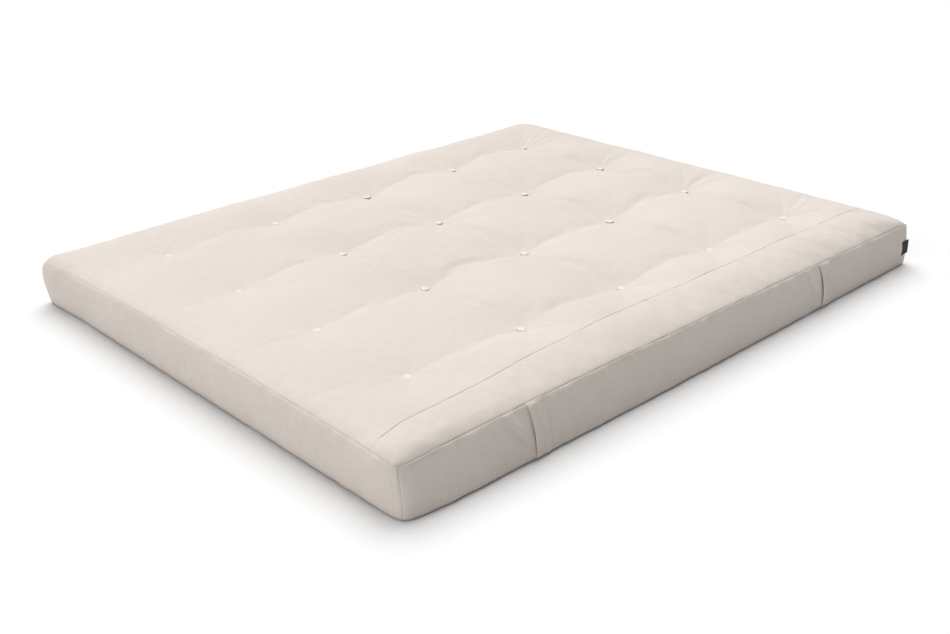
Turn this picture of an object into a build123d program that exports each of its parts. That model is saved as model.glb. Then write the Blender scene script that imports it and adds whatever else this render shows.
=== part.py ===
"""Tufted futon mattress: a sewn cotton cover filled with a foam core between layers of cotton batting.

Millimetres, +Z up, +X along the long side. The origin is the middle of the underside, on the floor.
The cover is cut as a top, a bottom and four borders, and every piece of it is taken from one filled
envelope. The batting is taken from the same envelope, a cloth's thickness further in.
"""

import os

from build123d import *

# The cover, measured from seam to seam
length = 2000.0
width = 1600.0
height = 168.0
bottom_seam = 10.0
top_seam = 130.0
bulge = 8.0
shoulder = 110.0
foot = 30.0
cloth = 1.6
strip_width = 125.0

# Tufting
tuft_columns = 5
tuft_rows = 4
column_pitch = 370.0
row_pitch = 360.0
tuft_radius = 12.0
tuft_thickness = 7.0
seat_radius = 14.0
top_dimple_radius = 75.0
top_dimple_depth = 22.0
bottom_dimple_radius = 55.0
bottom_dimple_depth = 8.0
needle_hole_radius = 1.5
twine_radius = 1.0

# Filling
ease = 0.4
layers_each_side = 3
core_thickness = 50.0
core_inset = 40.0

# Carrying straps, sewn into the two seams of each long border
strap_width = 50.0
strap_thickness = 2.4
strap_gap = 0.4
strap_places = {"left": -600.0, "right": 555.0}

# Label, sewn into the corner seam between the front and the right border
label_length = 36.0
label_height = 42.0
label_thickness = 1.4
label_bottom = 38.0
label_stand_off = 1.2
label_lean = 1.0
hinge_from_corner = 9.0

over = 100.0
middle_height = (bottom_seam + top_seam) / 2
tuft_grid = (column_pitch, row_pitch, tuft_columns, tuft_rows)
top_seat = height - top_dimple_depth
bottom_seat = bottom_dimple_depth


def edge_profile(span, inset):
    """Cross-section of the filled cover over one span, drawn with its base on the sketch's X axis."""
    half = span / 2
    with BuildSketch(Plane.XY) as profile:
        with BuildLine():
            Line((0, inset), (half - foot, inset))
            EllipticalCenterArc(
                (half - foot, bottom_seam), foot - inset, bottom_seam - inset, start_angle=-90
            )
            ThreePointArc(
                (half - inset, bottom_seam),
                (half + bulge - inset, middle_height),
                (half - inset, top_seam),
            )
            EllipticalCenterArc((half - shoulder, top_seam), shoulder - inset, height - top_seam - inset)
            Line((half - shoulder, height - inset), (0, height - inset))
            Line((0, height - inset), (0, inset))
        make_face()
        mirror(about=Plane.YZ)
    return profile.sketch


def filled_envelope(inset):
    """Everything inside a surface that runs `inset` within the outside of the cover."""
    across = edge_profile(width, inset)
    along = edge_profile(length, inset)
    with BuildPart() as envelope:
        with BuildSketch(Plane.YZ):
            add(across)
        extrude(amount=length / 2 + over, both=True)
        with BuildSketch(Plane.XZ):
            add(along)
        extrude(amount=width / 2 + over, both=True, mode=Mode.INTERSECT)
        with Locations((0, 0, top_seat - inset)), GridLocations(*tuft_grid):
            Cone(
                seat_radius,
                top_dimple_radius,
                top_dimple_depth,
                align=(Align.CENTER, Align.CENTER, Align.MIN),
                mode=Mode.SUBTRACT,
            )
        with Locations((0, 0, bottom_seat + inset)), GridLocations(*tuft_grid):
            Cone(
                bottom_dimple_radius,
                seat_radius,
                bottom_dimple_depth,
                align=(Align.CENTER, Align.CENTER, Align.MAX),
                mode=Mode.SUBTRACT,
            )
    return envelope.part


def corner_seam(x_sign, y_sign):
    """Upright plane through one corner seam, at 45 degrees, facing along the long side."""
    corner = (x_sign * length / 2, y_sign * width / 2, 0)
    return Plane(origin=corner, x_dir=(0, 0, 1), z_dir=(x_sign, -y_sign, 0))


def save(part, name):
    """Names a finished piece and writes its STEP file."""
    part.label = name
    export_step(part, f"parts/{name}.step")
    box = part.bounding_box()
    print(f"{name:20s} {box.size.X:8.1f} {box.size.Y:8.1f} {box.size.Z:7.1f}  {part.volume / 1e6:9.3f} dm3")


os.makedirs("parts", exist_ok=True)

# Cover: the cloth between two envelopes, with a needle hole at each tuft
with BuildPart() as shell:
    add(filled_envelope(0))
    add(filled_envelope(cloth), mode=Mode.SUBTRACT)
    with GridLocations(*tuft_grid):
        Cylinder(needle_hole_radius, 2 * height + over, mode=Mode.SUBTRACT)
cover_cloth = shell.part

# Top: a main panel, and a strip along the front where the cloth is not wide enough
strip_line = Plane.XZ.offset(width / 2 - strip_width)

with BuildPart() as top_panel:
    add(cover_cloth)
    split(bisect_by=Plane.XY.offset(top_seam), keep=Keep.TOP)
    split(bisect_by=strip_line, keep=Keep.BOTTOM)
save(top_panel.part, "top_panel")

with BuildPart() as top_side_strip:
    add(cover_cloth)
    split(bisect_by=Plane.XY.offset(top_seam), keep=Keep.TOP)
    split(bisect_by=strip_line, keep=Keep.TOP)
save(top_side_strip.part, "top_side_strip")

# Bottom: cut like the top
with BuildPart() as bottom_panel:
    add(cover_cloth)
    split(bisect_by=Plane.XY.offset(bottom_seam), keep=Keep.BOTTOM)
    split(bisect_by=strip_line, keep=Keep.BOTTOM)
save(bottom_panel.part, "bottom_panel")

with BuildPart() as bottom_side_strip:
    add(cover_cloth)
    split(bisect_by=Plane.XY.offset(bottom_seam), keep=Keep.BOTTOM)
    split(bisect_by=strip_line, keep=Keep.TOP)
save(bottom_side_strip.part, "bottom_side_strip")

# Borders: the upright cloth between the two seam levels, cut apart at the corner seams
with BuildPart() as border_ring:
    add(cover_cloth)
    split(bisect_by=Plane.XY.offset(bottom_seam), keep=Keep.TOP)
    split(bisect_by=Plane.XY.offset(top_seam), keep=Keep.BOTTOM)
ring_cloth = border_ring.part

for name, y_sign in (("border_front", -1), ("border_rear", 1)):
    with BuildPart() as long_border:
        add(ring_cloth)
        split(bisect_by=corner_seam(1, y_sign), keep=Keep.BOTTOM)
        split(bisect_by=corner_seam(-1, y_sign), keep=Keep.BOTTOM)
        split(bisect_by=Plane.XZ, keep=Keep.TOP if y_sign < 0 else Keep.BOTTOM)
    save(long_border.part, name)

for name, x_sign in (("border_left", -1), ("border_right", 1)):
    with BuildPart() as short_border:
        add(ring_cloth)
        split(bisect_by=corner_seam(x_sign, 1), keep=Keep.TOP)
        split(bisect_by=corner_seam(x_sign, -1), keep=Keep.TOP)
        split(bisect_by=Plane.YZ, keep=Keep.TOP if x_sign > 0 else Keep.BOTTOM)
    save(short_border.part, name)

# Filling: the foam core in an edge wrap of batting, with layers of batting above and below it
filling = filled_envelope(cloth + ease)
filling_bottom = cloth + ease
filling_top = height - cloth - ease
core_bottom = (filling_bottom + filling_top - core_thickness) / 2
core_top = core_bottom + core_thickness
layer_thickness = (core_bottom - filling_bottom) / layers_each_side


def filling_slice(low, high):
    """The part of the filling between two heights, with a needle hole at each tuft."""
    with BuildPart() as layer:
        add(filling)
        split(bisect_by=Plane.XY.offset(low), keep=Keep.TOP)
        split(bisect_by=Plane.XY.offset(high), keep=Keep.BOTTOM)
        with GridLocations(*tuft_grid):
            Cylinder(needle_hole_radius, 2 * height + over, mode=Mode.SUBTRACT)
    return layer.part


for layer in range(layers_each_side):
    low = filling_bottom + layer * layer_thickness
    save(filling_slice(low, low + layer_thickness), f"lower_batting_{layer + 1}")
    low = core_top + layer * layer_thickness
    save(filling_slice(low, low + layer_thickness), f"upper_batting_{layer + 1}")

with BuildPart() as foam_core:
    with BuildSketch(Plane.XY.offset(core_bottom)):
        Rectangle(length - 2 * core_inset, width - 2 * core_inset)
        with GridLocations(*tuft_grid):
            Circle(needle_hole_radius, mode=Mode.SUBTRACT)
    extrude(amount=core_thickness)
save(foam_core.part, "foam_core")

with BuildPart() as edge_wrap:
    add(filling)
    split(bisect_by=Plane.XY.offset(core_bottom), keep=Keep.TOP)
    split(bisect_by=Plane.XY.offset(core_top), keep=Keep.BOTTOM)
    with BuildSketch(Plane.XY.offset(core_bottom)):
        Rectangle(length - 2 * core_inset, width - 2 * core_inset)
    extrude(amount=core_thickness, mode=Mode.SUBTRACT)
save(edge_wrap.part, "edge_wrap")

# Tufts: a disc of cotton yarn in each dimple, above and below, and the twine that ties each pair
for name, seat, build_up in (("top_tufts", top_seat, 1), ("bottom_tufts", bottom_seat, -1)):
    with BuildPart() as tufts:
        with BuildSketch(Plane.XY.offset(seat)):
            with GridLocations(*tuft_grid):
                Circle(tuft_radius)
        extrude(amount=build_up * tuft_thickness)
        fillet(tufts.edges().filter_by(GeomType.CIRCLE), tuft_thickness / 3)
    save(tufts.part, name)

with BuildPart() as tufting_twines:
    with BuildSketch(Plane.XY.offset(bottom_seat)):
        with GridLocations(*tuft_grid):
            Circle(twine_radius)
    extrude(amount=top_seat - bottom_seat)
save(tufting_twines.part, "tufting_twines")

# Straps: flat tape from seam to seam over the bulge of each long border
for side, y_sign in (("front", -1), ("rear", 1)):
    near = width / 2 + strap_gap
    far = near + strap_thickness
    for end, place in strap_places.items():
        with BuildPart() as strap:
            with BuildSketch(Plane.YZ.offset(place - strap_width / 2)):
                with BuildLine():
                    ThreePointArc(
                        (y_sign * near, bottom_seam),
                        (y_sign * (near + bulge), middle_height),
                        (y_sign * near, top_seam),
                    )
                    Line((y_sign * near, top_seam), (y_sign * far, top_seam))
                    ThreePointArc(
                        (y_sign * far, top_seam),
                        (y_sign * (far + bulge), middle_height),
                        (y_sign * far, bottom_seam),
                    )
                    Line((y_sign * far, bottom_seam), (y_sign * near, bottom_seam))
                make_face()
            extrude(amount=strap_width)
        save(strap.part, f"strap_{side}_{end}")

# Label: a flap that turns about its sewn edge, just in front of the corner, and lies on the front border
hinge_x = length / 2 + bulge - hinge_from_corner
hinge_y = -width / 2 - bulge - label_stand_off

with BuildPart() as side_label:
    with BuildSketch(Plane.XY.offset(label_bottom)):
        with Locations((hinge_x, hinge_y)):
            Rectangle(
                label_length,
                label_thickness,
                rotation=180 + label_lean,
                align=(Align.MIN, Align.CENTER),
            )
    extrude(amount=label_height)
save(side_label.part, "side_label")
print(f"label hinge at {hinge_x:.1f}, {hinge_y:.1f}")
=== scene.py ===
"""Looks of the tufted futon mattress: cotton cover, carrying straps, label, tufts and filling.

Metres, +Z up, +X along the long side, in the frame of the CAD model. The cover is blown up as one
closed cloth held at its seams and tufts, then cut apart into its eight sewn pieces.
"""

import math
import random

import bmesh
import bpy
from bpy.props import FloatProperty, IntProperty, PointerProperty, StringProperty
from mathutils import Matrix, Vector, noise
from mathutils.bvhtree import BVHTree


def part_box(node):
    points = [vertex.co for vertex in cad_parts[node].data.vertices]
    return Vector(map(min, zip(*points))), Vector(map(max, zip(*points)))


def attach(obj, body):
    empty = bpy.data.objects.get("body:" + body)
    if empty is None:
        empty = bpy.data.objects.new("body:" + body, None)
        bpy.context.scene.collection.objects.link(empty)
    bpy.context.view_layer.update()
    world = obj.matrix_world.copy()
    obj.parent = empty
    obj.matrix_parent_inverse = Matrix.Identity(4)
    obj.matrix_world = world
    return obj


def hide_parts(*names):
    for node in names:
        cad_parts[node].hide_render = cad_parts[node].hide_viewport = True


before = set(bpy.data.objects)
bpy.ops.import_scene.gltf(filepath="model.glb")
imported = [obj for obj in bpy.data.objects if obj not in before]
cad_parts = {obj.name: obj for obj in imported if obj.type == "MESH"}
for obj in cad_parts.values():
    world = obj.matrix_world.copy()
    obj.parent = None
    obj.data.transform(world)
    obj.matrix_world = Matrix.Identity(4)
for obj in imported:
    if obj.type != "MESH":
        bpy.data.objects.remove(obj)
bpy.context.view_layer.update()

bl_info = {
    "name": "Tufted futon mattress",
    "version": (1, 0, 0),
    "blender": (4, 5, 0),
    "location": "3D Viewport > Sidebar > Futon",
    "description": "Cover, straps, label, tufts and filling of a tufted cotton futon",
    "category": "Object",
}

MATTRESS = "mattress"
LABEL = "label"
TUFT_COLUMNS = 5
TUFT_ROWS = 4
TUFT_PITCH = 0.37

# The cloth pieces of the cover, each with the CAD node of the same name
TOP_PANEL = 1
TOP_STRIP = 2
BOTTOM_PANEL = 3
BOTTOM_STRIP = 4
BORDER_FRONT = 5
BORDER_REAR = 6
BORDER_LEFT = 7
BORDER_RIGHT = 8
COVER_PIECES = {
    TOP_PANEL: "top_panel",
    TOP_STRIP: "top_side_strip",
    BOTTOM_PANEL: "bottom_panel",
    BOTTOM_STRIP: "bottom_side_strip",
    BORDER_FRONT: "border_front",
    BORDER_REAR: "border_rear",
    BORDER_LEFT: "border_left",
    BORDER_RIGHT: "border_right",
}
BORDERS = (BORDER_FRONT, BORDER_REAR, BORDER_LEFT, BORDER_RIGHT)

# Radius of each upright corner, by (right end, rear side)
CORNER_RADII = {
    (False, False): 0.030,
    (True, False): 0.008,
    (True, True): 0.030,
    (False, True): 0.012,
}

# Levels and lines the CAD model gives. The bottom seam is pressed down nearly to the floor.
TOP_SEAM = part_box("top_panel")[0].z
BOTTOM_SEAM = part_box("bottom_panel")[1].z
SEWN_BOTTOM = BOTTOM_SEAM - 0.009
HALF_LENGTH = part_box("top_panel")[1].x
HALF_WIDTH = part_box("top_panel")[1].y
STRIP_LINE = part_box("top_side_strip")[1].y
TUFTS_LOW, TUFTS_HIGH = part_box("top_tufts")
TUFT_RADIUS = (TUFTS_HIGH.x - TUFTS_LOW.x) / 2 - 2 * TUFT_PITCH
TUFT_LEFT = TUFTS_LOW.x + TUFT_RADIUS
TUFT_FRONT = TUFTS_LOW.y + TUFT_RADIUS
TUFT_ACROSS = (TUFTS_HIGH.x - TUFTS_LOW.x - 2 * TUFT_RADIUS) / (TUFT_COLUMNS - 1)
TUFT_ALONG = (TUFTS_HIGH.y - TUFTS_LOW.y - 2 * TUFT_RADIUS) / (TUFT_ROWS - 1)
TOP_SEAT = TUFTS_LOW.z
BOTTOM_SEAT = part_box("bottom_tufts")[1].z

# How the cloth is held: within this of a seam line it is on the seam, and under a tuft it is tied
ON_SEAM = 1e-5
TIED_RADIUS = 0.0135
DIMPLE_RADIUS = 0.085
DIMPLE_WIDTH = 0.075
# How far the straying panel seam takes the cloth beside it along
SEAM_REACH = 0.12
# A border gets fuller over this length from its corner
CORNER_REACH = 0.09
FRONT_LEAN = 0.023
PACKED_CORNER = Vector((-0.013, 0.011))
BORDER_BEAD = 0.0020
FOLDS_PER_TUFT = 10
# The batting lies this far below the tufts' seats, so that it clears the dimples
BATTING_BELOW_SEAT = 0.011

# Firm cotton: it hardly stretches, gives a little in shear and folds easily
COTTON_CLOTH = {
    "quality": 5,
    "mass": 0.3,
    "air_damping": 2,
    "tension_stiffness": 80,
    "compression_stiffness": 20,
    "shear_stiffness": 10,
    "bending_stiffness": 0.1,
    "tension_damping": 5,
    "compression_damping": 5,
    "shear_damping": 5,
    "bending_damping": 0.5,
}

# Section of a rolled edge: share of the roll, of the seam's depth and of the bead, from outside in
ROLLED_EDGE = ((1.0, 0.0, 1.0), (0.45, -0.12, 0.8), (0.12, -0.45, 0.0), (0.05, -1.0, 0.0))


class FutonCoverSettings(bpy.types.PropertyGroup):
    """How the cover is cut, sewn and filled."""

    cell: FloatProperty(
        name="Cloth cell",
        description="Spacing of the cloth's threads in the simulation",
        default=0.0125,
        unit="LENGTH",
    )
    pressure: FloatProperty(
        name="Filling pressure",
        description="How hard the filling presses the cover out",
        default=2.0,
    )
    slack: FloatProperty(
        name="Cloth to spare",
        description="Share by which the cloth is cut larger than its seams",
        default=0.006,
    )
    frames: IntProperty(
        name="Settling frames",
        description="Frames the cloth is given to settle over the filling",
        default=22,
    )
    loft: FloatProperty(
        name="Loft",
        description="Height of the cushions before the cloth is tightened",
        default=0.158,
        unit="LENGTH",
    )
    shoulder: FloatProperty(
        name="Shoulder",
        description="How far in from the seam the top reaches its height",
        default=0.085,
        unit="LENGTH",
    )
    border_bulge: FloatProperty(
        name="Border bulge",
        description="How far the borders stand out between their seams",
        default=0.010,
        unit="LENGTH",
    )
    seam_roll: FloatProperty(
        name="Seam roll",
        description="Radius of the cloth where it turns into a seam",
        default=0.0022,
        unit="LENGTH",
    )
    seam_depth: FloatProperty(
        name="Seam depth",
        description="How far the cloth is drawn into a seam",
        default=0.0038,
        unit="LENGTH",
    )


class FutonTrimSettings(bpy.types.PropertyGroup):
    """Tufts, straps and label."""

    tuft_height: FloatProperty(
        name="Tuft height",
        description="Height of a yarn tuft",
        default=0.0023,
        unit="LENGTH",
    )
    strap_thickness: FloatProperty(
        name="Strap thickness",
        description="Thickness of the cotton tape",
        default=0.0018,
        unit="LENGTH",
    )
    label_thickness: FloatProperty(
        name="Label thickness",
        description="Thickness of one ply of the folded label",
        default=0.0005,
        unit="LENGTH",
    )


class FutonFinishSettings(bpy.types.PropertyGroup):
    """Colours, as sRGB hex values."""

    cotton: StringProperty(
        name="Cover", description="Unbleached cotton", default="#CEC5BD"
    )
    yarn: StringProperty(name="Tufts", description="Bleached cotton yarn", default="#D9D8D2")
    twine: StringProperty(name="Twine", description="Waxed cotton twine", default="#E6DDC8")
    label: StringProperty(name="Label", description="Black satin weave", default="#100E0E")
    batting: StringProperty(name="Batting", description="Carded cotton", default="#E9E1D0")
    foam: StringProperty(name="Foam", description="Cut foam", default="#E8DFA8")
    floor: StringProperty(name="Floor", description="Pale studio floor", default="#E2E2E2")


def settings():
    """The three groups of settings of this scene."""
    scene = bpy.context.scene
    return scene.futon_cover, scene.futon_trim, scene.futon_finish


# Colour and nodes


def linear(hex_colour):
    """Linear RGBA of an sRGB hex colour."""
    channels = [int(hex_colour.lstrip("#")[i : i + 2], 16) / 255 for i in (0, 2, 4)]
    linear_rgb = [c / 12.92 if c <= 0.04045 else ((c + 0.055) / 1.055) ** 2.4 for c in channels]
    return (*linear_rgb, 1.0)


def add_node(material, kind, links=(), **values):
    """A node of this kind with its settings; links are (own input, other node, its output)."""
    node = material.node_tree.nodes.new(kind)
    for key, value in values.items():
        if hasattr(node, key):
            setattr(node, key, value)
        else:
            node.inputs[key.replace("_", " ")].default_value = value
    for socket, source, output in links:
        material.node_tree.links.new(source.outputs[output], node.inputs[socket])
    return node


def blank_material(name):
    """A new material and its shader node."""
    material = bpy.data.materials.new(name)
    material.use_nodes = True
    return material, material.node_tree.nodes["Principled BSDF"]


def ramp_between(node, low, high, low_at=0.3, high_at=0.7):
    """Sets a colour ramp's two ends."""
    node.color_ramp.elements[0].position = low_at
    node.color_ramp.elements[0].color = low
    node.color_ramp.elements[1].position = high_at
    node.color_ramp.elements[1].color = high


def shade_of(hex_colour, factor):
    """The colour made lighter or darker by a factor, in linear light."""
    red, green, blue, alpha = linear(hex_colour)
    return (min(1, red * factor), min(1, green * factor), min(1, blue * factor), alpha)


def woven_cotton(name, hex_colour, slub=0.05, bump=0.00035):
    """Plain woven unbleached cotton: matt and warm, with uneven threads both ways and flecks of seed.

    The real threads are 0.5 mm apart. They are drawn 3 mm apart, so that the grain of the cloth
    shows from across a room.
    """
    material, shader = blank_material(name)
    place = add_node(material, "ShaderNodeTexCoord")
    threads = []
    for stretch in ((0.06, 1.0, 1.0), (1.0, 0.06, 1.0), (1.0, 1.0, 0.06)):
        along = add_node(
            material, "ShaderNodeMapping", [("Vector", place, "Object")], Scale=stretch
        )
        threads.append(
            add_node(
                material,
                "ShaderNodeTexNoise",
                [("Vector", along, "Vector")],
                Scale=330.0,
                Detail=2.0,
                Roughness=0.6,
            )
        )
    both = add_node(
        material,
        "ShaderNodeMath",
        [(0, threads[0], "Fac"), (1, threads[1], "Fac")],
        operation="ADD",
    )
    weave = add_node(
        material, "ShaderNodeMath", [(0, both, "Value"), (1, threads[2], "Fac")], operation="ADD"
    )
    even = add_node(material, "ShaderNodeMath", [(0, weave, "Value")], operation="DIVIDE")
    even.inputs[1].default_value = 3.0
    slubs = add_node(material, "ShaderNodeValToRGB", [("Fac", even, "Value")])
    ramp_between(slubs, shade_of(hex_colour, 1 - slub), shade_of(hex_colour, 1 + slub), 0.38, 0.62)
    cloudy = add_node(
        material, "ShaderNodeTexNoise", [("Vector", place, "Object")], Scale=3.1, Detail=3.0
    )
    clouds = add_node(material, "ShaderNodeValToRGB", [("Fac", cloudy, "Fac")])
    ramp_between(clouds, (0.965, 0.96, 0.955, 1), (1, 1, 1, 1), 0.35, 0.65)
    tone = add_node(
        material,
        "ShaderNodeMix",
        data_type="RGBA",
        blend_type="MULTIPLY",
    )
    tone.inputs["Factor"].default_value = 1.0
    material.node_tree.links.new(slubs.outputs["Color"], tone.inputs["A"])
    material.node_tree.links.new(clouds.outputs["Color"], tone.inputs["B"])
    relief = add_node(
        material,
        "ShaderNodeBump",
        [("Height", even, "Value")],
        Strength=0.55,
        Distance=bump,
    )
    links = material.node_tree.links
    links.new(tone.outputs["Result"], shader.inputs["Base Color"])
    links.new(relief.outputs["Normal"], shader.inputs["Normal"])
    shader.inputs["Roughness"].default_value = 0.92
    shader.inputs["Specular IOR Level"].default_value = 0.15
    shader.inputs["Sheen Weight"].default_value = 0.12
    shader.inputs["Sheen Roughness"].default_value = 0.6
    return material


def fibre_material(name, hex_colour, scale, bump, roughness=0.95, sheen=0.3):
    """Loose fibre or foam: matt, mottled and soft, with a fine rough surface."""
    material, shader = blank_material(name)
    place = add_node(material, "ShaderNodeTexCoord")
    tangle = add_node(
        material,
        "ShaderNodeTexNoise",
        [("Vector", place, "Object")],
        Scale=scale,
        Detail=4.0,
        Roughness=0.65,
    )
    tone = add_node(material, "ShaderNodeValToRGB", [("Fac", tangle, "Fac")])
    ramp_between(tone, shade_of(hex_colour, 0.9), shade_of(hex_colour, 1.04))
    relief = add_node(
        material, "ShaderNodeBump", [("Height", tangle, "Fac")], Strength=0.6, Distance=bump
    )
    links = material.node_tree.links
    links.new(tone.outputs["Color"], shader.inputs["Base Color"])
    links.new(relief.outputs["Normal"], shader.inputs["Normal"])
    shader.inputs["Roughness"].default_value = roughness
    shader.inputs["Specular IOR Level"].default_value = 0.15
    shader.inputs["Sheen Weight"].default_value = sheen
    return material


# Mesh helpers


def new_object(name, mesh, material, body, *nodes):
    """Puts a finished mesh in the scene, on its body, in place of its CAD nodes."""
    mesh.name = name
    piece = bpy.data.objects.new(name, mesh)
    bpy.context.scene.collection.objects.link(piece)
    mesh.materials.clear()
    mesh.materials.append(material)
    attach(piece, body)
    if nodes:
        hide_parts(*nodes)
    return piece


def mesh_from(form, name):
    """Mesh of a bmesh, smooth shaded."""
    for face in form.faces:
        face.smooth = True
    mesh = bpy.data.meshes.new(name)
    form.to_mesh(mesh)
    form.free()
    return mesh


def smoothstep(low, high, value):
    """0 below low, 1 above high, and a smooth turn between them."""
    share = min(1.0, max(0.0, (value - low) / (high - low)))
    return share * share * (3 - 2 * share)


def wander(value, seed):
    """Smooth unevenness from about -1 to 1 along one line."""
    return noise.noise(Vector((value, seed * 7.31, 0.37))) * 1.6


def tuft_places():
    """Middle of each tuft, a little off the even grid, as a hand ties them."""
    hand = random.Random(8)
    places = []
    for row in range(TUFT_ROWS):
        for column in range(TUFT_COLUMNS):
            off = Vector((hand.uniform(-0.008, 0.008), hand.uniform(-0.008, 0.008)))
            even = Vector((TUFT_LEFT + column * TUFT_ACROSS, TUFT_FRONT + row * TUFT_ALONG))
            places.append(even + off)
    return places


def nearest_tuft(point):
    """Number of the tuft whose square of cloth this point is in."""
    column = round((point.x - TUFT_LEFT) / TUFT_ACROSS)
    row = round((point.y - TUFT_FRONT) / TUFT_ALONG)
    column = min(TUFT_COLUMNS - 1, max(0, column))
    row = min(TUFT_ROWS - 1, max(0, row))
    return row * TUFT_COLUMNS + column


# The cover


def seam_level(x, y):
    """Height of the top seam: the filling lifts it between the corners, most on the left."""
    along = x / HALF_LENGTH
    across = y / HALF_WIDTH
    corner = TOP_SEAM - 0.004
    if abs(along) > abs(across):
        lift = 0.016 if along < 0 else 0.007
        reach = abs(across) ** 3
    else:
        lift = 0.011 - 0.004 * along if across < 0 else 0.018 - 0.006 * along
        reach = abs(along) ** (3 if across < 0 or along > 0 else 6)
    ripple = 0.0012 * wander(4.0 * (x + y), 3)
    return corner + (lift + ripple) * (1 - reach)


def border_stand(x, y, up, bulge):
    """How far a border stands out from its seam line, as a step along X and Y.

    The left border is fullest near its top, and the foot of the front border leans out.
    """
    full = 4 * up * (1 - up)
    foot = (1 - up) ** 1.3
    from_side = smoothstep(0, CORNER_REACH, HALF_WIDTH - abs(y))
    out = Vector((0, 0))
    if abs(abs(x) - HALF_LENGTH) < ON_SEAM:
        if x < 0:
            share = 0.75 + 0.25 * from_side if y > 0 else 0.3 + 0.7 * from_side
            shoulder = math.sin(math.pi * (1 - up) ** 0.62)
            out.x = -(1.3 * bulge * shoulder + 0.002) * share
        else:
            out.x = bulge * full * (0.3 + 0.7 * from_side) + 0.004 * foot * from_side
    if abs(abs(y) - HALF_WIDTH) < ON_SEAM:
        if y < 0:
            most_left = (1 - smoothstep(-0.4, 1.3, x)) * smoothstep(-1.12, -0.85, x)
            lean = 0.003 + FRONT_LEAN * most_left
            fullness = 0.5 + 0.5 * smoothstep(0, CORNER_REACH, HALF_LENGTH - x)
            out.y = -bulge * 0.8 * full * fullness - lean * foot
        else:
            from_end = smoothstep(0, CORNER_REACH, HALF_LENGTH - abs(x))
            out.y = bulge * full * (0.5 + 0.5 * from_end) + 0.004 * foot
    return out


def turn_corner(x, y):
    """Step that brings the cover's square outline onto the rounded corner it is sewn to."""
    radius = CORNER_RADII[x > 0, y > 0]
    along = HALF_LENGTH - abs(x) + HALF_WIDTH - abs(y)
    if along >= radius:
        return Vector((0, 0))
    angle = (1 - along / radius) * math.pi / 4
    near, far = radius * math.sin(angle), radius * math.cos(angle)
    if abs(abs(x) - HALF_LENGTH) > ON_SEAM:
        near, far = far, near
    inward_x = HALF_LENGTH - radius + far - abs(x)
    inward_y = HALF_WIDTH - radius + near - abs(y)
    return Vector((math.copysign(inward_x, x * inward_x), math.copysign(inward_y, y * inward_y)))


def packed_corner(x, y, up):
    """How far the tightly packed rear left corner stands out."""
    away = math.hypot(x + HALF_LENGTH, y - HALF_WIDTH)
    return PACKED_CORNER * (1 - smoothstep(0, 0.22, away)) * (0.5 + 0.5 * up)


def cover_box(cell):
    """The seamed box of the cover as a grid of cloth cells, one face number for each piece."""
    height = TOP_SEAM - BOTTOM_SEAM
    form = bmesh.new()
    bmesh.ops.create_cube(form, size=1.0)
    bmesh.ops.scale(form, vec=(2 * HALF_LENGTH, 2 * HALF_WIDTH, height), verts=form.verts)
    bmesh.ops.translate(form, vec=(0, 0, BOTTOM_SEAM + height / 2), verts=form.verts)
    for axis, size in enumerate((2 * HALF_LENGTH, 2 * HALF_WIDTH, height)):
        edges = [e for e in form.edges if abs((e.verts[0].co - e.verts[1].co)[axis]) > 1e-6]
        cuts = round(size / cell) - 1
        bmesh.ops.subdivide_edges(form, edges=edges, cuts=cuts, use_grid_fill=True)
    piece = form.faces.layers.int.new("piece")
    form.normal_update()
    for face in form.faces:
        middle = face.calc_center_median()
        if face.normal.z > 0.9:
            face[piece] = TOP_PANEL if middle.y > STRIP_LINE else TOP_STRIP
        elif face.normal.z < -0.9:
            face[piece] = BOTTOM_PANEL if middle.y > STRIP_LINE else BOTTOM_STRIP
        elif abs(face.normal.y) > 0.9:
            face[piece] = BORDER_FRONT if face.normal.y < 0 else BORDER_REAR
        else:
            face[piece] = BORDER_LEFT if face.normal.x < 0 else BORDER_RIGHT
    return form


def strip_wave(x):
    """How far the panel seam strays from its line, which is most at its two ends."""
    left = max(0.0, -x / HALF_LENGTH - 0.86) / 0.14
    right = max(0.0, x / HALF_LENGTH - 0.86) / 0.14
    stray = 0.003 * wander(2.6 * x, 5) + 0.003 * wander(7.0 * x, 6)
    return stray - 0.021 * smoothstep(0.25, 0.9, -x) - 0.020 * left**2 - 0.008 * right**2


def crown(x, y, shoulder):
    """Share of its full height the top is cut to here: none at the seams, and low at the corners."""
    from_end = math.sqrt(1 - (1 - min(1, (HALF_LENGTH - abs(x)) / shoulder)) ** 2)
    from_side = math.sqrt(1 - (1 - min(1, (HALF_WIDTH - abs(y)) / shoulder)) ** 2)
    packed = 1 - smoothstep(0.1, 0.4, math.hypot(x + HALF_LENGTH, y - HALF_WIDTH))
    low = from_end * from_side
    return low + (min(from_end, from_side) - low) * packed


def shape_cut_cloth(form, cover, tufts):
    """Moves the box's cloth to the shape it is cut for, and says what holds each point."""
    held = form.verts.layers.deform.verify()
    cut_place = form.verts.layers.float_vector.new("cut_place")
    for vert in form.verts:
        x, y, z = vert.co
        vert[cut_place] = vert.co
        at_end = abs(abs(x) - HALF_LENGTH) < ON_SEAM
        at_side = abs(abs(y) - HALF_WIDTH) < ON_SEAM
        if at_end or at_side:
            shape_border(vert, held, at_end, at_side, cover)
        elif abs(z - TOP_SEAM) < ON_SEAM:
            shape_top(vert, held, tufts, cover)
        elif abs(z - BOTTOM_SEAM) < ON_SEAM:
            shape_underside(vert, held, tufts)


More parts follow.
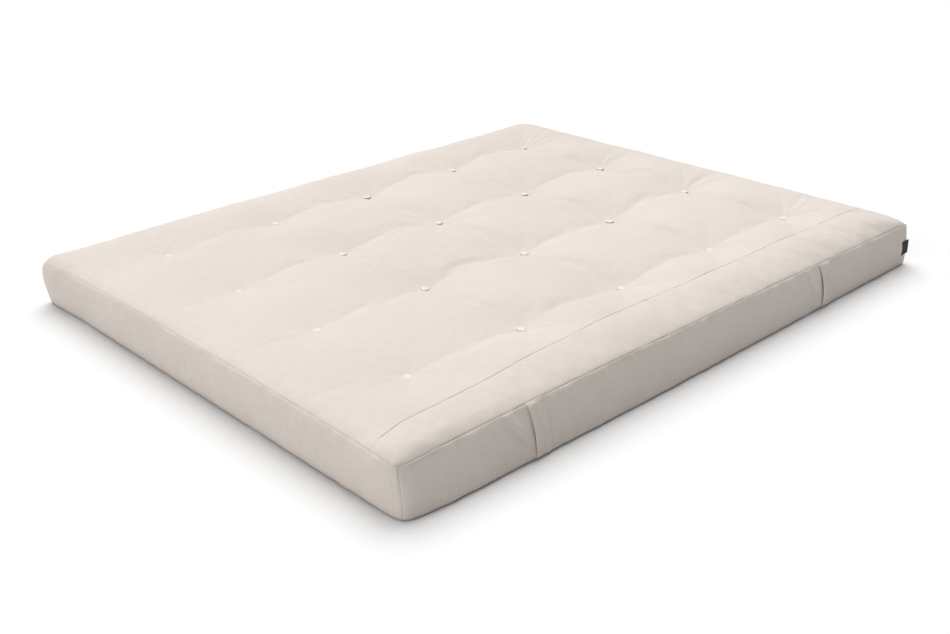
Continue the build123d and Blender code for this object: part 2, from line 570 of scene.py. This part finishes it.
def shape_border(vert, held, at_end, at_side, cover):
    """Sets one point of a border or its seams; the seams hold the cloth, the corners nearly so."""
    x, y, z = vert.co
    on_top = abs(z - TOP_SEAM) < ON_SEAM
    on_bottom = abs(z - BOTTOM_SEAM) < ON_SEAM
    share = (z - BOTTOM_SEAM) / (TOP_SEAM - BOTTOM_SEAM)
    vert.co.z = SEWN_BOTTOM + share * (seam_level(x, y) - SEWN_BOTTOM)
    vert.co.xy += border_stand(x, y, share, cover.border_bulge)
    vert.co.xy += turn_corner(x, y) + packed_corner(x, y, share)
    if on_top and at_end:
        vert.co.y += strip_wave(x) * (1 - smoothstep(0, SEAM_REACH, abs(y - STRIP_LINE)))
    if on_top or on_bottom:
        vert[held][0] = 1.0
    elif at_end and at_side:
        vert[held][0] = 0.8


def shape_top(vert, held, tufts, cover):
    """Sets one point of the top: crowned, dimpled to its tuft, and taut along the panel seam."""
    x, y, _ = vert.co
    vert.co.y += strip_wave(x) * (1 - smoothstep(0, SEAM_REACH, abs(y - STRIP_LINE)))
    vert.co.xy += packed_corner(x, y, 1.0)
    level = seam_level(x, y)
    vert.co.z = level + (cover.loft - level) * crown(x, y, cover.shoulder)
    for tuft in tufts:
        away = (vert.co.xy - tuft).length
        if away < DIMPLE_RADIUS:
            dip = min(1.0, max(0.0, (away - 0.010) / DIMPLE_WIDTH)) ** 1.3
            vert.co.z = min(vert.co.z, TOP_SEAT + (cover.loft - TOP_SEAT) * dip)
        if away < TIED_RADIUS:
            vert.co.z = TOP_SEAT
            vert[held][0] = 1.0
    if abs(y - STRIP_LINE) < ON_SEAM:
        vert[held][1] = 1.0


def shape_underside(vert, held, tufts):
    """Sets one point of the underside: flat on the floor, and drawn up under each tuft."""
    x, y, _ = vert.co
    edge = min(HALF_LENGTH - abs(x), HALF_WIDTH - abs(y))
    rise = math.sqrt(1 - (1 - min(1, edge / 0.03)) ** 2)
    vert.co.z = SEWN_BOTTOM * (1 - rise)
    vert.co.xy += packed_corner(x, y, 0.0)
    for tuft in tufts:
        if (vert.co.xy - tuft).length < TIED_RADIUS:
            vert.co.z = BOTTOM_SEAT
            vert[held][0] = 1.0


def fill_cover(form, cover):
    """Blows the cut cloth up over its filling and returns the settled mesh."""
    mesh = bpy.data.meshes.new("settling")
    form.to_mesh(mesh)
    form.free()
    cloth = bpy.data.objects.new("settling", mesh)
    bpy.context.scene.collection.objects.link(cloth)
    cloth.vertex_groups.new(name="held")
    cloth.vertex_groups.new(name="taut")
    modifier = cloth.modifiers.new("Cloth", "CLOTH")
    weave = modifier.settings
    for setting, value in COTTON_CLOTH.items():
        setattr(weave, setting, value)
    weave.use_pressure = True
    weave.uniform_pressure_force = cover.pressure
    weave.vertex_group_mass = "held"
    weave.pin_stiffness = 1
    weave.vertex_group_shrink = "taut"
    weave.shrink_min = -cover.slack
    weave.shrink_max = 0.003
    weave.effector_weights.gravity = 0
    modifier.collision_settings.use_collision = False
    modifier.collision_settings.use_self_collision = False
    modifier.point_cache.frame_start = 1
    modifier.point_cache.frame_end = cover.frames + 10
    scene = bpy.context.scene
    scene.frame_start = 1
    scene.frame_end = cover.frames + 10
    for moment in range(1, cover.frames + 1):
        scene.frame_set(moment)
    settled = cloth.evaluated_get(bpy.context.evaluated_depsgraph_get())
    filled = bpy.data.meshes.new_from_object(settled)
    bpy.data.objects.remove(cloth)
    scene.frame_set(1)
    return filled


def fold_lines(tufts):
    """Curved folds that run out from each tuft: start, direction, length, bend and depth."""
    hand = random.Random(21)
    folds = []
    for number, tuft in enumerate(tufts):
        column = number % TUFT_COLUMNS
        strength = 1.2 if number == 0 else (0.35, 0.6, 0.9, 1.0, 1.2)[column]
        for fold in range(FOLDS_PER_TUFT):
            angle = (fold + hand.uniform(-0.3, 0.3)) * 2 * math.pi / FOLDS_PER_TUFT
            length = hand.uniform(0.05, 0.13)
            bend = hand.uniform(-4.0, 4.0)
            depth = strength * hand.uniform(0.0008, 0.0019)
            folds.append((tuft, angle, length, bend, depth))
        if column == TUFT_COLUMNS - 1:
            for angle in (-0.55, -0.15, 0.2, 0.6):
                bend = hand.uniform(-1.5, 1.5)
                folds.append((tuft, angle, hand.uniform(0.2, 0.26), bend, 0.0026))
    return folds


def pucker(point, folds):
    """How far the folds round the tufts lower the cloth at this point."""
    drop = 0.0
    for tuft, angle, length, bend, depth in folds:
        offset = point - tuft
        away = offset.length
        if away > length or away < 0.006:
            continue
        turned = math.atan2(offset.y, offset.x) - angle - bend * away
        turned = (turned + math.pi) % (2 * math.pi) - math.pi
        across = abs(turned) * away
        width = 0.0035 + 0.05 * away
        if across < 3 * width:
            fade = smoothstep(0.006, 0.02, away) * (1 - smoothstep(0.35 * length, length, away))
            drop += depth * fade * math.exp(-((across / width) ** 2))
    return drop


def valley_lines(tufts):
    """The valleys between neighbouring tufts: both ends, and the depth of valley and crease."""
    lines = []
    for row in range(TUFT_ROWS):
        for column in range(TUFT_COLUMNS):
            here = row * TUFT_COLUMNS + column
            if column + 1 < TUFT_COLUMNS:
                valley = (0.0030, 0.0040, 0.0045, 0.0045)[column]
                lines.append((tufts[here], tufts[here + 1], valley, 0.4 * valley))
            if row + 1 < TUFT_ROWS:
                valley = (0.0, 0.0040, 0.0095, 0.0120, 0.0120)[column]
                lines.append((tufts[here], tufts[here + TUFT_COLUMNS], valley, 0.35 * valley))
    return lines


def crease(point, lines):
    """How far the valleys between tufts and the creases along them lower the cloth here."""
    drop = 0.0
    for start, end, valley, fold in lines:
        run = end - start
        share = (point - start).dot(run) / run.length_squared
        if 0 < share < 1:
            side = Vector((-run.y, run.x)).normalized()
            bow = 0.006 * math.sin(math.pi * share)
            across = abs((point - start).dot(side) - bow)
            if across < 0.1:
                middle = math.sin(math.pi * share) ** 0.7
                drop += valley * middle * math.exp(-((across / 0.036) ** 2))
            if across < 0.03:
                ends = 0.45 + 0.55 * abs(2 * share - 1)
                width = 0.0045 + 0.003 * (1 - abs(2 * share - 1))
                near = smoothstep(0.0, 0.06, min(share, 1 - share))
                drop += fold * ends * near * math.exp(-((across / width) ** 2))
    return drop


def strap_tuck(x, z):
    """Raised fold of border cloth that the sewing on of each front strap leaves beside it."""
    rise = 0.0
    for end in ("left", "right"):
        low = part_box(f"strap_front_{end}")[0]
        start = Vector((low.x - 0.075, TOP_SEAM + 0.004))
        run = Vector((low.x - 0.006, 0.055)) - start
        share = (Vector((x, z)) - start).dot(run) / run.length_squared
        if 0 < share < 1:
            side = Vector((-run.y, run.x)).normalized()
            across = (Vector((x, z)) - start).dot(side)
            ridge = math.exp(-((across / 0.010) ** 2))
            hollow = math.exp(-(((across + 0.014) / 0.008) ** 2))
            rise += 0.0042 * math.sin(math.pi * share) ** 0.6 * (ridge - 0.8 * hollow)
    return rise


def flatter_left(place):
    """Height of the top where its cushions are packed flatter, towards the left end."""
    share = 0.55 + 0.45 * smoothstep(-0.72, -0.35, place.x)
    level = TOP_SEAT + 0.004
    return place.z if place.z < level else level + (place.z - level) * share


def dress_cloth(form, tufts):
    """Adds the folds, creases and lumps of sewn cotton, and keeps the cloth above the floor."""
    folds = fold_lines(tufts)
    lines = valley_lines(tufts)
    folds_of = [[fold for fold in folds if fold[0] is tuft] for tuft in tufts]
    lines_of = [[line for line in lines if line[0] is tuft or line[1] is tuft] for tuft in tufts]
    form.normal_update()
    moves = []
    for vert in form.verts:
        x, y, z = vert.co
        push = 0.0
        if vert.normal.z > 0.5:
            vert.co.z = flatter_left(vert.co)
            point = vert.co.xy
            nearest = nearest_tuft(point)
            push -= pucker(point, folds_of[nearest])
            push -= crease(point, lines_of[nearest])
            push += 0.0012 * noise.noise(vert.co * 9.0)
            push += 0.0005 * noise.noise(vert.co * 38.0)
            from_front = y + HALF_WIDTH
            if from_front < 0.11:
                ruck = 0.2 + 1.4 * smoothstep(-0.2, 1.0, x)
                slanted = 34 * x + 14 * from_front
                fade = smoothstep(0.0, 0.02, from_front) * (1 - smoothstep(0.02, 0.11, from_front))
                push += 0.0011 * ruck * wander(slanted, 23) * fade
        elif vert.normal.z > -0.6:
            along = x if abs(vert.normal.y) > abs(vert.normal.x) else y
            up = (z - BOTTOM_SEAM) / (TOP_SEAM - BOTTOM_SEAM)
            ends = max(0.0, 1 - min(up, 1 - up) / 0.45)
            ruck = 0.0024 if vert.normal.y < -0.6 and up > 0.5 else 0.0010
            push += ruck * wander(along * 26, 11 + math.copysign(3, x)) * ends
            push += 0.4 * ruck * wander(along * 72, 5) * ends**2
            push += 0.0008 * noise.noise(Vector((along * 60, z * 14, 4.4))) * (0.4 + ends)
            push += 0.0010 * noise.noise(vert.co * 11.0)
            if vert.normal.y < -0.6:
                push += strap_tuck(x, z)
        moves.append((vert, vert.normal * push))
    for vert, move in moves:
        vert.co += move
        vert.co.z = max(vert.co.z, 0.0)


def turn_edges_in(form, outward, cover, ridge):
    """Rolls the open edge of a cover piece into its seams, with a bead where a seam stands up."""
    rim = [vert for vert in form.verts if vert.is_boundary]
    places = {}
    for vert in rim:
        turned = []
        for edge in vert.link_edges:
            if not edge.is_boundary:
                continue
            face = edge.link_faces[0]
            run = (edge.verts[1].co - edge.verts[0].co).normalized()
            inward = face.normal.cross(run)
            if inward.dot(face.calc_center_median() - edge.verts[0].co) < 0:
                inward.negate()
            turned.append(inward)
        both = turned[0] + turned[1]
        inward = both / (1 + turned[0].dot(turned[1]))
        around = vert.co.x + vert.co.y
        bead = ridge * (0.7 + 0.5 * wander(around * 55, 17))
        tight = 0.75 + 0.45 * wander(around * 34, 29)
        if vert.co.x < -HALF_LENGTH + 0.03:
            tight = 0.3 * tight
        places[vert] = (vert.co.copy(), inward, vert[outward].normalized(), bead, max(0.2, tight))
    roll = cover.seam_roll
    depth = cover.seam_depth
    edges = [edge for edge in form.edges if edge.is_boundary]
    for step, (back, down, lift) in enumerate(ROLLED_EDGE):
        if step:
            made = bmesh.ops.extrude_edge_only(form, edges=edges)["geom"]
            new_verts = [item for item in made if isinstance(item, bmesh.types.BMVert)]
            edges = [item for item in made if isinstance(item, bmesh.types.BMEdge)]
            edges = [edge for edge in edges if edge.is_boundary]
            moved = {}
            for vert in new_verts:
                for edge in vert.link_edges:
                    other = edge.other_vert(vert)
                    if other in places:
                        moved[vert] = places[other]
            places = moved
        for vert, (place, inward, out, bead, tight) in places.items():
            inset = inward * (back * roll * tight)
            vert.co = place + inset + out * (down * depth * tight + lift * bead)
            vert.co.z = max(vert.co.z, 0.0)


def cut_out(form, number, cover):
    """One sewn piece of the cover, cut from the whole filled cover."""
    piece = form.copy()
    layer = piece.faces.layers.int["piece"]
    outward = piece.verts.layers.float_vector["outward"]
    others = [face for face in piece.faces if face[layer] != number]
    bmesh.ops.delete(piece, geom=others, context="FACES")
    turn_edges_in(piece, outward, cover, BORDER_BEAD if number in BORDERS else 0.0)
    return piece


def finer(mesh):
    """The mesh with each cloth cell divided once, smoothly."""
    helper = bpy.data.objects.new("finer", mesh)
    bpy.context.scene.collection.objects.link(helper)
    smooth = helper.modifiers.new("Subdivision", "SUBSURF")
    smooth.levels = 1
    smooth.render_levels = 1
    done = bpy.data.meshes.new_from_object(
        helper.evaluated_get(bpy.context.evaluated_depsgraph_get())
    )
    bpy.data.objects.remove(helper)
    return done


class FUTON_OT_cover(bpy.types.Operator):
    """Sew the cover, fill it and cut its eight pieces"""

    bl_idname = "futon.cover"
    bl_label = "Cover"

    def execute(self, context):
        cover, _, finish = settings()
        tufts = tuft_places()
        form = cover_box(cover.cell)
        shape_cut_cloth(form, cover, tufts)
        settled = fill_cover(form, cover)
        settled.name = "filled_cover"
        settled.use_fake_user = True
        form = bmesh.new()
        form.from_mesh(finer(settled))
        dress_cloth(form, tufts)
        form.normal_update()
        outward = form.verts.layers.float_vector.new("outward")
        for vert in form.verts:
            vert[outward] = vert.normal
        cotton = woven_cotton("Unbleached cotton, plain woven", finish.cotton)
        for number, name in COVER_PIECES.items():
            cut = cut_out(form, number, cover)
            mesh = mesh_from(cut, name)
            piece = new_object(f"cover_{name}", mesh, cotton, MATTRESS, name)
        form.free()
        return {"FINISHED"}


class FUTON_OT_straps(bpy.types.Operator):
    """Lay the four carrying straps over the long borders"""

    bl_idname = "futon.straps"
    bl_label = "Straps"

    def execute(self, context):
        _, trim, finish = settings()
        tape = woven_cotton("Cotton tape, herringbone woven", finish.cotton, 0.07, 0.0005)
        for side in ("front", "rear"):
            facing = -1 if side == "front" else 1
            border = bpy.data.objects[f"cover_border_{side}"]
            surface = BVHTree.FromPolygons(
                [v.co for v in border.data.vertices], [p.vertices for p in border.data.polygons]
            )
            for end in ("left", "right"):
                name = f"strap_{side}_{end}"
                mesh = strap_mesh(name, facing, surface, trim)
                piece = new_object(f"tape_{name}", mesh, tape, MATTRESS, name)
        return {"FINISHED"}


def strap_mesh(name, facing, surface, trim):
    """One length of tape from seam to seam, standing a little off the border on its left edge."""
    low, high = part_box(name)
    form = bmesh.new()
    bmesh.ops.create_grid(form, x_segments=16, y_segments=40, size=0.5)
    lean = -0.006 * facing
    for vert in form.verts:
        across = vert.co.x + 0.5
        up = vert.co.y + 0.5
        x = low.x + across * (high.x - low.x) + lean * (0.5 - up)
        level = seam_level(x, facing * HALF_WIDTH)
        z = SEWN_BOTTOM + 0.001 + up * (level - SEWN_BOTTOM - 0.002)
        hit = surface.ray_cast(Vector((x, facing * 2.0, z)), Vector((0, -facing, 0)))[0]
        base = hit.y if hit else facing * HALF_WIDTH
        belly = math.sin(math.pi * up)
        stand = 0.0022 + 0.0035 * belly * (1 - smoothstep(0.0, 0.5, across))
        stand += 0.0012 * belly * wander(9 * across + 5 * up, 2 + facing)
        tuck = smoothstep(0.0, 0.03, up) * (1 - smoothstep(0.97, 1.0, up))
        stand = stand * tuck - 0.003 * (1 - tuck)
        vert.co = Vector((x, base + facing * stand, z))
    form.normal_update()
    bmesh.ops.recalc_face_normals(form, faces=form.faces)
    if form.faces[0].normal.y * facing < 0:
        bmesh.ops.reverse_faces(form, faces=form.faces)
    bmesh.ops.solidify(form, geom=form.faces[:], thickness=trim.strap_thickness)
    bmesh.ops.recalc_face_normals(form, faces=form.faces)
    return mesh_from(form, name)


class FUTON_OT_label(bpy.types.Operator):
    """Fold the label and sew it to the corner seam"""

    bl_idname = "futon.label"
    bl_label = "Label"

    def execute(self, context):
        _, trim, finish = settings()
        low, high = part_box("side_label")
        form = bmesh.new()
        bmesh.ops.create_grid(form, x_segments=24, y_segments=16, size=0.5)
        length = high.x - low.x
        height = high.z - low.z
        turn = 0.0012
        ply = 0.6 * turn
        for vert in form.verts:
            way = vert.co.x * 2
            up = vert.co.y + 0.5
            from_fold = abs(way) * (length - turn)
            bend = math.pi / 2 * min(1.0, from_fold / (turn * 1.6))
            side = math.copysign(1, way) if way else 0.0
            x = low.x + turn * (1 - math.cos(bend)) + max(0.0, from_fold - ply)
            part = (high.y + low.y) / 2 + side * ply * math.sin(bend)
            from_seam = 1 - (x - low.x) / length
            wave = 0.0007 * math.sin(3.2 * (1 - from_seam) + 1.4 * up)
            z = low.z + up * height - 0.002 * from_seam
            vert.co = Vector((min(x, high.x), part + wave, z))
        bmesh.ops.solidify(form, geom=form.faces[:], thickness=trim.label_thickness)
        bmesh.ops.recalc_face_normals(form, faces=form.faces)
        mesh = mesh_from(form, "side_label")
        piece = new_object("folded_label", mesh, label_weave(finish.label), LABEL, "side_label")
        return {"FINISHED"}


def label_weave(hex_colour):
    """Black satin-woven polyester tape: dark and close, with a soft gloss along the weft."""
    material, shader = blank_material("Polyester satin tape, woven")
    place = add_node(material, "ShaderNodeTexCoord")
    along = add_node(
        material, "ShaderNodeMapping", [("Vector", place, "Object")], Scale=(0.1, 0.1, 1.0)
    )
    weft = add_node(
        material,
        "ShaderNodeTexNoise",
        [("Vector", along, "Vector")],
        Scale=1400.0,
        Detail=1.0,
    )
    tone = add_node(material, "ShaderNodeValToRGB", [("Fac", weft, "Fac")])
    ramp_between(tone, shade_of(hex_colour, 0.7), shade_of(hex_colour, 1.3))
    relief = add_node(
        material, "ShaderNodeBump", [("Height", weft, "Fac")], Strength=0.4, Distance=0.0002
    )
    links = material.node_tree.links
    links.new(tone.outputs["Color"], shader.inputs["Base Color"])
    links.new(relief.outputs["Normal"], shader.inputs["Normal"])
    shader.inputs["Roughness"].default_value = 0.6
    shader.inputs["Specular IOR Level"].default_value = 0.3
    return material


class FUTON_OT_tufts(bpy.types.Operator):
    """Tie a yarn tuft in every dimple, above and below"""

    bl_idname = "futon.tufts"
    bl_label = "Tufts"

    def execute(self, context):
        _, trim, finish = settings()
        yarn = fibre_material("Bleached cotton yarn, looped", finish.yarn, 900.0, 0.0006)
        for name, seat, facing in (
            ("top_tufts", TOP_SEAT, 1),
            ("bottom_tufts", BOTTOM_SEAT, -1),
        ):
            form = bmesh.new()
            for number, place in enumerate(tuft_places()):
                add_tuft(form, place, seat, facing, trim.tuft_height, number)
            mesh = mesh_from(form, name)
            piece = new_object(f"yarn_{name}", mesh, yarn, MATTRESS, name)
        return {"FINISHED"}


def add_tuft(form, place, seat, facing, height, number):
    """One flat round tuft of looped yarn, drawn in across the middle by its twine."""
    hand = random.Random(100 + number)
    made = bmesh.ops.create_icosphere(form, subdivisions=4, radius=1.0)["verts"]
    turn = hand.uniform(0, math.pi)
    for vert in made:
        around = math.atan2(vert.co.y, vert.co.x)
        out = vert.co.xy.length
        loops = 1 + 0.10 * out * math.sin(11 * around + number) + 0.06 * wander(around * 3, number)
        across = abs(math.sin(around - turn)) * out
        drawn = 1 - 0.55 * math.exp(-((across / 0.16) ** 2)) * (1 - 0.5 * out)
        x = vert.co.x * TUFT_RADIUS * loops
        y = vert.co.y * TUFT_RADIUS * loops
        z = (vert.co.z * 0.85 + 0.08) * height * (drawn if vert.co.z > 0 else 1.0)
        vert.co = Vector((place.x + x, place.y + y, seat + facing * z))
    if facing < 0:
        faces = {face for vert in made for face in vert.link_faces}
        bmesh.ops.reverse_faces(form, faces=list(faces))


class FUTON_OT_filling(bpy.types.Operator):
    """Lay up the batting and the foam core inside the cover"""

    bl_idname = "futon.filling"
    bl_label = "Filling"

    def execute(self, context):
        cover, _, finish = settings()
        cotton = fibre_material("Cotton batting, carded", finish.batting, 160.0, 0.002)
        foam = fibre_material("Polyurethane foam, cut", finish.foam, 700.0, 0.0008, sheen=0.1)
        twine = fibre_material("Waxed cotton twine, twisted", finish.twine, 1200.0, 0.0003, 0.6)
        whole = inset_form(cover, tuft_places())
        core_low, core_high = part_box("foam_core")
        for name in [
            *(f"lower_batting_{n}" for n in (1, 2, 3)),
            "edge_wrap",
            *(f"upper_batting_{n}" for n in (1, 2, 3)),
        ]:
            low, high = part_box(name)
            clear = TOP_SEAT - BATTING_BELOW_SEAT
            top = 1.0 if name == "upper_batting_3" else min(high.z, clear)
            bottom = -1.0 if name == "lower_batting_1" else min(low.z, clear)
            layer = whole.copy()
            slice_between(layer, bottom, top)
            mesh = mesh_from(layer, name)
            piece = new_object(f"laid_{name}", mesh, cotton, MATTRESS, name)
            for polygon in mesh.polygons:
                polygon.use_smooth = abs(polygon.normal.z) < 0.95 or polygon.area < 0.01
            if name == "edge_wrap":
                hollow_out(piece, core_low, core_high)
        whole.free()
        core = bmesh.new()
        bmesh.ops.create_cube(core, size=1.0)
        bmesh.ops.scale(core, vec=core_high - core_low, verts=core.verts)
        bmesh.ops.translate(core, vec=(core_high + core_low) / 2, verts=core.verts)
        bmesh.ops.bevel(
            core,
            geom=core.edges[:],
            offset=0.003,
            segments=3,
            affect="EDGES",
            profile=0.5,
            material=-1,
        )
        mesh = mesh_from(core, "foam_core")
        piece = new_object("cut_foam_core", mesh, foam, MATTRESS, "foam_core")
        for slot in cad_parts["tufting_twines"].material_slots:
            slot.material = twine
        return {"FINISHED"}


def inset_form(cover, tufts):
    """The filled cover's shape on every second cell, a few millimetres further in, for the batting."""
    lines = valley_lines(tufts)
    filled = bpy.data.meshes["filled_cover"]
    cut_places = filled.attributes["cut_place"].data
    settled = {}
    for vert, cut in zip(filled.vertices, cut_places):
        settled[tuple(round(value * 2000) for value in cut.vector)] = vert.co.copy()
    form = cover_box(2 * cover.cell)
    for vert in form.verts:
        vert.co = settled[tuple(round(value * 2000) for value in vert.co)]
    form.normal_update()
    moves = []
    for vert in form.verts:
        depth = 0.007
        if vert.normal.z > 0.5:
            depth = 0.008 + crease(vert.co.xy, lines)
            vert.co.z = flatter_left(vert.co)
        moves.append((vert, vert.co - vert.normal * depth))
    for vert, place in moves:
        vert.co = place
        vert.co.z = max(vert.co.z, 0.004)
    return form


def slice_between(form, low, high):
    """Cuts a closed form off below and above, and closes both cuts."""
    for level, up in ((low, -1), (high, 1)):
        if not 0 < level < 1:
            continue
        cut = bmesh.ops.bisect_plane(
            form,
            geom=form.verts[:] + form.edges[:] + form.faces[:],
            plane_co=(0, 0, level),
            plane_no=(0, 0, up),
            clear_outer=True,
        )
        rim = [item for item in cut["geom_cut"] if isinstance(item, bmesh.types.BMEdge)]
        bmesh.ops.contextual_create(form, geom=rim)
    bmesh.ops.recalc_face_normals(form, faces=form.faces)


def hollow_out(piece, low, high):
    """Takes the foam core's room out of the edge wrap."""
    room = bmesh.new()
    bmesh.ops.create_cube(room, size=1.0)
    bmesh.ops.scale(room, vec=(high.x - low.x, high.y - low.y, 1.0), verts=room.verts)
    mesh = mesh_from(room, "core_room")
    helper = bpy.data.objects.new("core_room", mesh)
    bpy.context.scene.collection.objects.link(helper)
    cut = piece.modifiers.new("Core room", "BOOLEAN")
    cut.operation = "DIFFERENCE"
    cut.solver = "EXACT"
    cut.object = helper
    done = bpy.data.meshes.new_from_object(
        piece.evaluated_get(bpy.context.evaluated_depsgraph_get())
    )
    piece.modifiers.clear()
    piece.data = done
    bpy.data.objects.remove(helper)


class FUTON_OT_stage(bpy.types.Operator):
    """Set the floor, the soft light and the camera"""

    bl_idname = "futon.stage"
    bl_label = "Stage"

    def execute(self, context):
        _, _, finish = settings()
        scene = context.scene
        ground = bmesh.new()
        bmesh.ops.create_grid(ground, x_segments=2, y_segments=2, size=60.0)
        floor_material, shader = blank_material("Studio floor, matt paper")
        shader.inputs["Base Color"].default_value = linear(finish.floor)
        shader.inputs["Roughness"].default_value = 1.0
        shader.inputs["Specular IOR Level"].default_value = 0.0
        mesh = mesh_from(ground, "floor")
        mesh.materials.append(floor_material)
        floor = bpy.data.objects.new("floor", mesh)
        scene.collection.objects.link(floor)
        floor.location.z = -0.0005

        add_sun("overhead softbox", Vector((0.33, 0.38, 1.0)), 3.38, 62)
        add_sun("side reflector", Vector((-1.0, 0.15, 0.22)), 1.5, 60)
        world = bpy.data.worlds.new("studio")
        world.use_nodes = True
        haze = world.node_tree.nodes["Background"]
        haze.inputs["Color"].default_value = (1, 1, 1, 1)
        haze.inputs["Strength"].default_value = 0.28
        scene.world = world

        place_camera(scene)
        scene.view_settings.view_transform = "Standard"
        return {"FINISHED"}


def place_camera(scene):
    """Sets the camera high beside the front left corner, looking down along the mattress."""
    lens = bpy.data.cameras.new("camera")
    lens.sensor_width = 36
    lens.lens = 47.16
    lens.shift_x = 0.0625
    lens.shift_y = -0.0802
    lens.clip_end = 200
    aim = Vector((0.089, 0.408, 0))
    distance = 4.09
    azimuth = math.radians(-40.13)
    elevation = math.radians(20.91)
    roll = math.radians(-2.08)
    level = Vector((math.cos(azimuth), math.sin(azimuth), 0))
    back = Vector((math.sin(azimuth), -math.cos(azimuth), 0)) * math.cos(elevation)
    back.z = math.sin(elevation)
    upright = back.cross(level)
    right = math.cos(roll) * level + math.sin(roll) * upright
    up = math.cos(roll) * upright - math.sin(roll) * level
    turn = Matrix((right, up, back)).transposed().to_4x4()
    camera = bpy.data.objects.new("camera", lens)
    scene.collection.objects.link(camera)
    camera.matrix_world = Matrix.Translation(aim + back * distance) @ turn
    scene.camera = camera


def add_sun(name, towards, strength, width):
    """A wide soft light from one direction; width is how many degrees of the sky it fills."""
    lamp = bpy.data.lights.new(name, "SUN")
    lamp.energy = strength
    lamp.angle = math.radians(width)
    sun = bpy.data.objects.new(name, lamp)
    bpy.context.scene.collection.objects.link(sun)
    sun.rotation_euler = towards.to_track_quat("Z", "Y").to_euler()


class FUTON_PT_panel(bpy.types.Panel):
    """Shows the settings and a button for each operator"""

    bl_idname = "FUTON_PT_panel"
    bl_label = "Futon mattress"
    bl_space_type = "VIEW_3D"
    bl_region_type = "UI"
    bl_category = "Futon"

    def draw(self, context):
        for group in settings():
            box = self.layout.box()
            for key in group.__annotations__:
                box.prop(group, key)
        for operator in OPERATORS:
            self.layout.operator(operator.bl_idname)


GROUPS = (FutonCoverSettings, FutonTrimSettings, FutonFinishSettings)
OPERATORS = (
    FUTON_OT_cover,
    FUTON_OT_straps,
    FUTON_OT_label,
    FUTON_OT_tufts,
    FUTON_OT_filling,
    FUTON_OT_stage,
)


def register():
    """Registers the settings, the operators and the panel."""
    for group in (*GROUPS, *OPERATORS, FUTON_PT_panel):
        bpy.utils.register_class(group)
    bpy.types.Scene.futon_cover = PointerProperty(type=FutonCoverSettings)
    bpy.types.Scene.futon_trim = PointerProperty(type=FutonTrimSettings)
    bpy.types.Scene.futon_finish = PointerProperty(type=FutonFinishSettings)


def unregister():
    """Takes everything that register added away again."""
    del bpy.types.Scene.futon_finish
    del bpy.types.Scene.futon_trim
    del bpy.types.Scene.futon_cover
    for group in reversed((*GROUPS, *OPERATORS, FUTON_PT_panel)):
        bpy.utils.unregister_class(group)


def main():
    """Makes every piece and the stage."""
    register()
    bpy.ops.futon.cover()
    bpy.ops.futon.straps()
    bpy.ops.futon.label()
    bpy.ops.futon.tufts()
    bpy.ops.futon.filling()
    bpy.ops.futon.stage()


if __name__ == "__main__":
    main()
